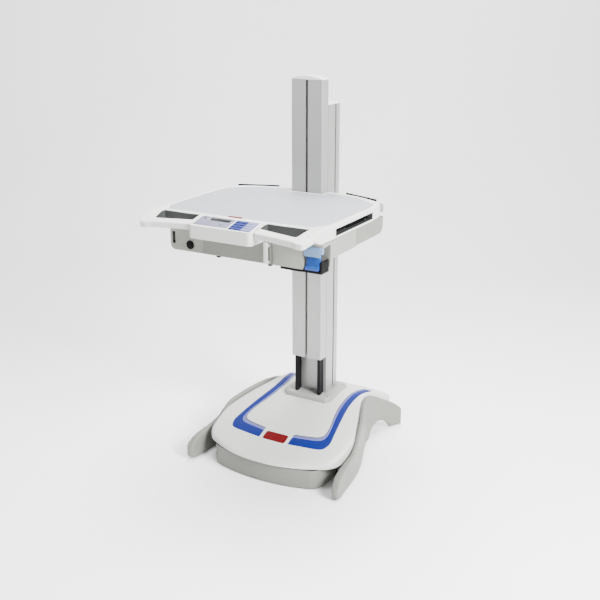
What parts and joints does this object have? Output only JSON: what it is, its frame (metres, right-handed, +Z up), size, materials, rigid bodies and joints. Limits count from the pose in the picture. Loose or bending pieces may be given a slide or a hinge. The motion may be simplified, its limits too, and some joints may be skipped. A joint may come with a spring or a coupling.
{
  "type": "medication cart",
  "caption": "Height-adjustable hospital cart: worktop with handles, drawer, mouse tray and control panel on a sliding mast over a domed four-caster base.",
  "frame": {"origin": "centre of the whole cart's footprint, on the floor that the casters stand on", "axes": "+Z up; -Y towards the user, who stands at the handles; +X to the user's right when facing the cart"},
  "size_m": [0.572, 0.792, 1.246],
  "materials": {
    "shell_white": "fine texture",
    "shell_grey": "fine texture",
    "worktop_grey": "satin laminate",
    "mast_aluminium": "satin anodised",
    "stripe_blue": "gloss",
    "badge_red": "gloss",
    "lever_blue": "gloss",
    "clear_plastic": "translucent",
    "black_rubber": "matt",
    "black_plastic": "fine texture",
    "wheel_tread": "matt",
    "pedal_grey": "fine texture",
    "steel": "brushed",
    "painted_steel": "powder coat",
    "display_glass": "gloss",
    "keypad_silicone": "satin",
    "button_grey": "satin"
  },
  "bodies": {
    "base": {"base_chassis": "painted_steel", "base_cover": "shell_white", "base_stripe": "stripe_blue", "base_badge": "badge_red", "front_skirt": "shell_grey", "side_rail_left": "shell_grey", "side_rail_right": "shell_grey", "battery_pack": "black_plastic", "power_module": "painted_steel", "rear_panel": "black_plastic", "power_inlet": "black_plastic", "mast_foot": "shell_white", "mast_foot_screws": "steel", "fixed_mast": "mast_aluminium", "guide_rails": "black_plastic", "fixed_mast_cap": "shell_white", "gas_spring_cylinder": "painted_steel"},
    "lift": {"lift_column": "mast_aluminium", "lift_column_cap": "shell_white", "guide_glides": "shell_white", "gas_spring_rod": "steel", "spring_arm": "painted_steel", "lift_bracket": "painted_steel", "worktop_frame": "shell_white", "worktop_mat": "worktop_grey", "rear_bumper_strips": "black_rubber", "worktop_badge": "badge_red", "front_unit": "shell_grey", "front_unit_strip": "black_rubber", "unit_bump_stops": "black_rubber", "side_pod": "shell_grey", "tray_runners": "steel", "drawer_lock_bezel": "black_plastic", "control_panel_housing": "shell_white", "display_window": "display_glass", "keypad": "keypad_silicone", "lever_bracket": "clear_plastic", "release_lever_pin": "steel"},
    "drawer": {"drawer_tray": "shell_grey", "drawer_front": "shell_grey", "drawer_pull": "shell_white"},
    "mouse_tray": {"mouse_tray": "black_plastic"},
    "drawer_lock": {"drawer_lock_cylinder": "steel"},
    "release_lever": {"release_lever": "lever_blue"},
    "panel_button_1": {"panel_button_1": "button_grey"},
    "panel_button_2": {"panel_button_2": "button_grey"},
    "swivel_front_left": {"caster_fork_front_left": "black_plastic", "caster_axle_front_left": "steel"},
    "wheels_front_left": {"caster_wheels_front_left": "wheel_tread"},
    "swivel_front_right": {"caster_fork_front_right": "black_plastic", "caster_axle_front_right": "steel"},
    "wheels_front_right": {"caster_wheels_front_right": "wheel_tread"},
    "swivel_rear_left": {"caster_fork_rear_left": "black_plastic", "caster_axle_rear_left": "steel"},
    "wheels_rear_left": {"caster_wheels_rear_left": "wheel_tread"},
    "pedal_rear_left": {"brake_pedal_rear_left": "pedal_grey"},
    "swivel_rear_right": {"caster_fork_rear_right": "black_plastic", "caster_axle_rear_right": "steel"},
    "wheels_rear_right": {"caster_wheels_rear_right": "wheel_tread"},
    "pedal_rear_right": {"brake_pedal_rear_right": "pedal_grey"}
  },
  "joints": [
    {"name": "column_lift", "type": "slide", "parent": "base", "child": "lift", "axis": [0, 0, 1], "range_m": [-0.12, 0.3]},
    {"name": "drawer_slide", "type": "slide", "parent": "lift", "child": "drawer", "axis": [0, -1, 0], "range_m": [0, 0.17]},
    {"name": "mouse_tray_slide", "type": "slide", "parent": "lift", "child": "mouse_tray", "axis": [1, 0, 0], "range_m": [0, 0.15]},
    {"name": "drawer_lock_turn", "type": "hinge", "parent": "lift", "child": "drawer_lock", "pos_m": [-0.156, -0.308, 0.786], "axis": [0, -1, 0], "range_deg": [0, 90]},
    {"name": "release_lever_squeeze", "type": "hinge", "parent": "lift", "child": "release_lever", "pos_m": [0.251, -0.295, 0.819], "axis": [-1, 0, 0], "range_deg": [0, 15], "stiffness_Nm_per_rad": 0.6},
    {"name": "panel_button_1_press", "type": "slide", "parent": "lift", "child": "panel_button_1", "axis": [0, 0, -1], "range_m": [0, 0.001], "stiffness_N_per_m": 400},
    {"name": "panel_button_2_press", "type": "slide", "parent": "lift", "child": "panel_button_2", "axis": [0, 0, -1], "range_m": [0, 0.001], "stiffness_N_per_m": 400},
    {"name": "caster_swivel_front_left", "type": "hinge", "parent": "base", "child": "swivel_front_left", "pos_m": [-0.148, -0.07, 0.064], "axis": [0, 0, 1], "continuous": true},
    {"name": "caster_roll_front_left", "type": "hinge", "parent": "swivel_front_left", "child": "wheels_front_left", "pos_m": [-0.148, -0.054, 0.025], "axis": [1, 0, 0], "continuous": true},
    {"name": "caster_swivel_front_right", "type": "hinge", "parent": "base", "child": "swivel_front_right", "pos_m": [0.148, -0.07, 0.064], "axis": [0, 0, 1], "continuous": true},
    {"name": "caster_roll_front_right", "type": "hinge", "parent": "swivel_front_right", "child": "wheels_front_right", "pos_m": [0.148, -0.054, 0.025], "axis": [1, 0, 0], "continuous": true},
    {"name": "caster_swivel_rear_left", "type": "hinge", "parent": "base", "child": "swivel_rear_left", "pos_m": [-0.114, 0.304, 0.064], "axis": [0, 0, 1], "continuous": true},
    {"name": "caster_roll_rear_left", "type": "hinge", "parent": "swivel_rear_left", "child": "wheels_rear_left", "pos_m": [-0.114, 0.32, 0.025], "axis": [1, 0, 0], "continuous": true},
    {"name": "brake_pedal_rear_left", "type": "hinge", "parent": "swivel_rear_left", "child": "pedal_rear_left", "pos_m": [-0.114, 0.326, 0.054], "axis": [-1, 0, 0], "range_deg": [0, 10]},
    {"name": "caster_swivel_rear_right", "type": "hinge", "parent": "base", "child": "swivel_rear_right", "pos_m": [0.114, 0.304, 0.064], "axis": [0, 0, 1], "continuous": true},
    {"name": "caster_roll_rear_right", "type": "hinge", "parent": "swivel_rear_right", "child": "wheels_rear_right", "pos_m": [0.114, 0.32, 0.025], "axis": [1, 0, 0], "continuous": true},
    {"name": "brake_pedal_rear_right", "type": "hinge", "parent": "swivel_rear_right", "child": "pedal_rear_right", "pos_m": [0.114, 0.326, 0.054], "axis": [-1, 0, 0], "range_deg": [0, 10]}
  ]
}
